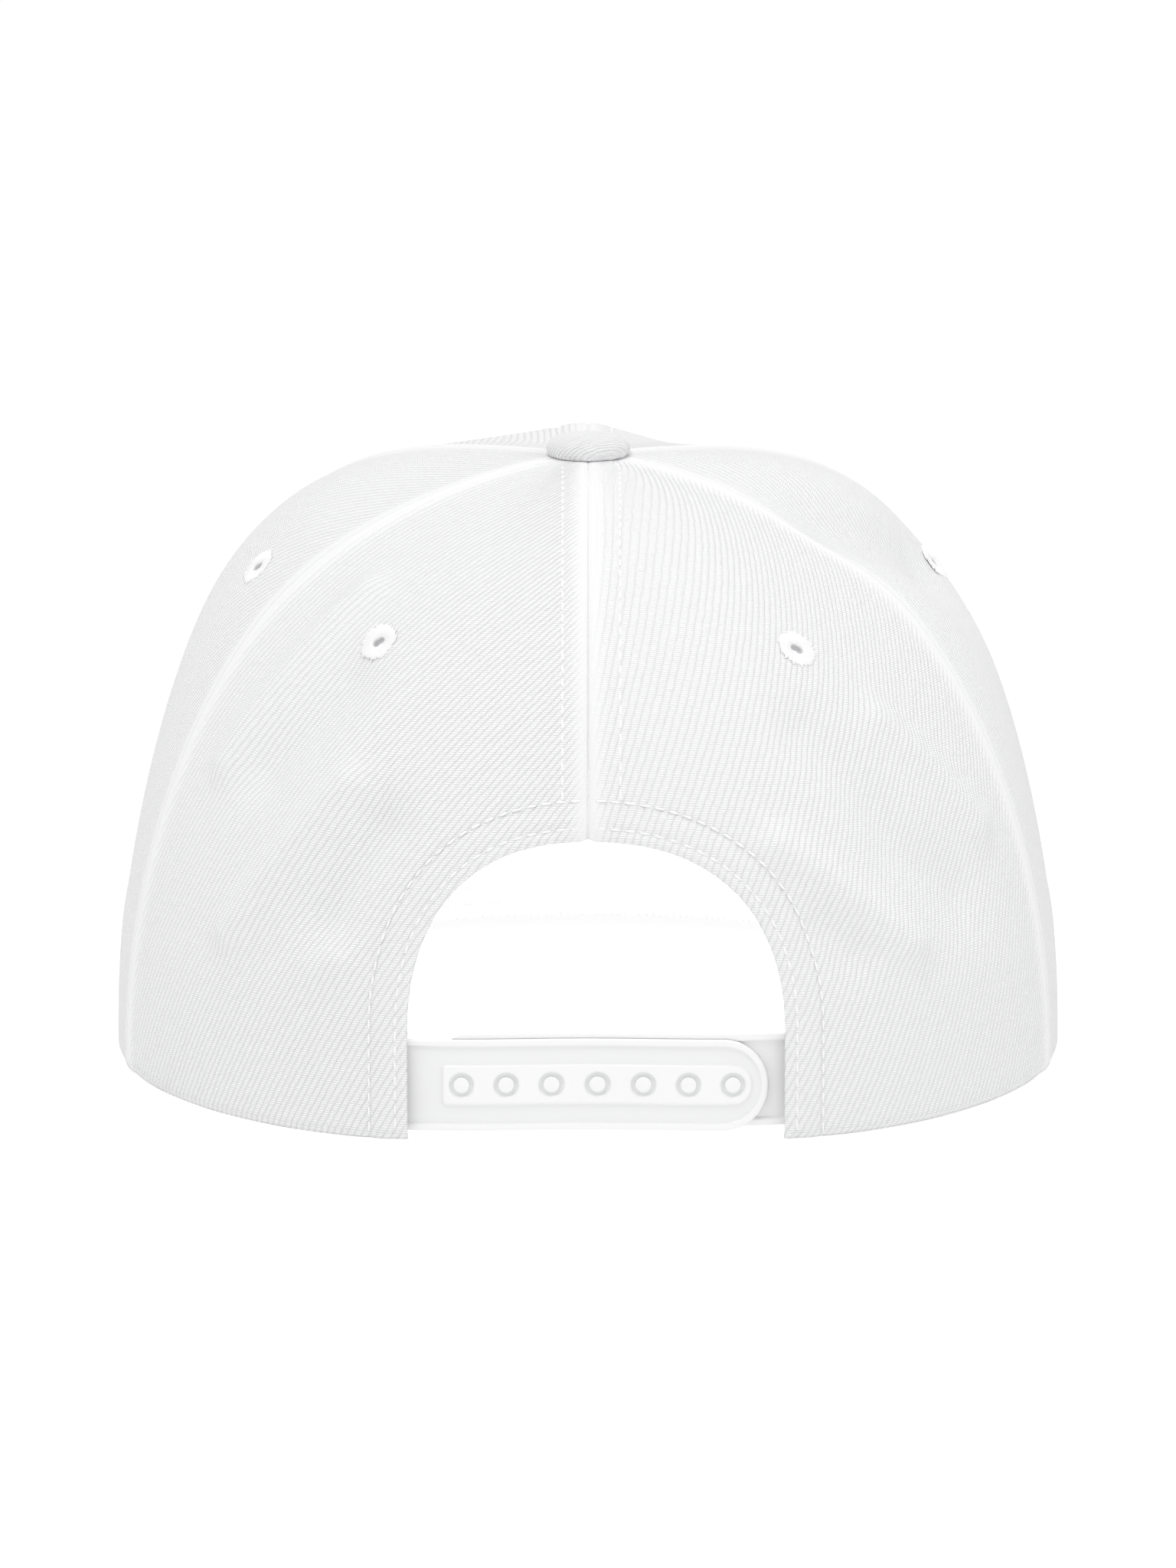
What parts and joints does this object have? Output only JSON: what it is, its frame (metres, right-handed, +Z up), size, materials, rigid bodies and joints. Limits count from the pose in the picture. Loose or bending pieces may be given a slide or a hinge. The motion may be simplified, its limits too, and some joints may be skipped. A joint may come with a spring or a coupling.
{
  "type": "snapback cap",
  "caption": "Structured snapback cap with a panelled crown, flat peak, top button, sewn eyelets, sweatband and an adjustable snap strap across an arched opening at the back.",
  "frame": {"origin": "on the surface the cap rests on, under the middle of its bounding box", "axes": "+Z up, +Y from the back opening towards the tip of the peak, +X to the wearer's right"},
  "size_m": [0.201, 0.2494, 0.1312],
  "materials": {
    "cap_cloth": "white twill weave, matte",
    "eyelet_thread": "white embroidery thread, soft sheen",
    "band_cloth": "white plain cotton, matte",
    "strap_plastic": "semi-frosted white moulded plastic, satin"
  },
  "bodies": {
    "root": {"back_left_panel": "cap_cloth", "back_right_panel": "cap_cloth", "side_left_panel": "cap_cloth", "side_right_panel": "cap_cloth", "front_left_panel": "cap_cloth", "front_right_panel": "cap_cloth", "button": "cap_cloth", "peak": "cap_cloth", "back_left_eyelet": "eyelet_thread", "back_right_eyelet": "eyelet_thread", "side_left_eyelet": "eyelet_thread", "side_right_eyelet": "eyelet_thread", "front_left_eyelet": "eyelet_thread", "front_right_eyelet": "eyelet_thread", "sweatband": "band_cloth", "hole_strap": "strap_plastic", "stud_strap": "strap_plastic"}
  },
  "joints": []
}
